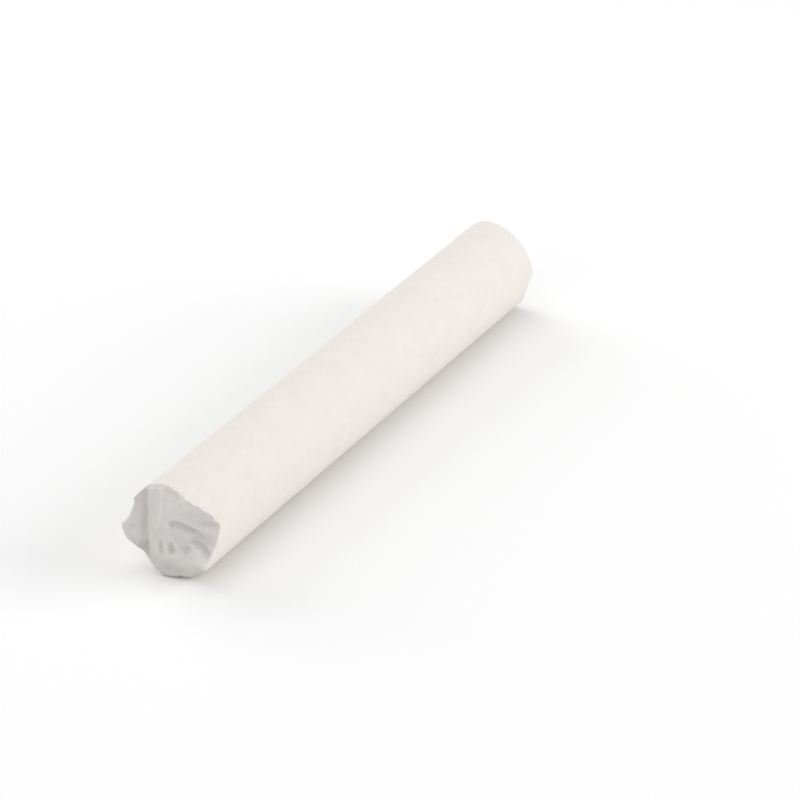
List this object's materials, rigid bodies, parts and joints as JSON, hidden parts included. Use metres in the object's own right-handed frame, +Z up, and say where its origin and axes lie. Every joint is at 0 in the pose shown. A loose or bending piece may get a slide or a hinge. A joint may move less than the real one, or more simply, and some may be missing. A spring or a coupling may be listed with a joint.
{
  "type": "chalk stick",
  "caption": "Round stick of white chalk, snapped to a rough, ridged break at one end, with a rounded, worn and chipped cast end at the other.",
  "frame": {"origin": "on the surface the stick lies on, under the middle of its length", "axes": "+X along the stick, from the broken end to the cast end; +Z up from the surface; +Y across the stick"},
  "size_m": [0.08, 0.0094, 0.0095],
  "materials": {
    "chalk": "matte, powdery, fine-grained off-white"
  },
  "bodies": {
    "root": {"chalk_stick": "chalk"}
  },
  "joints": []
}
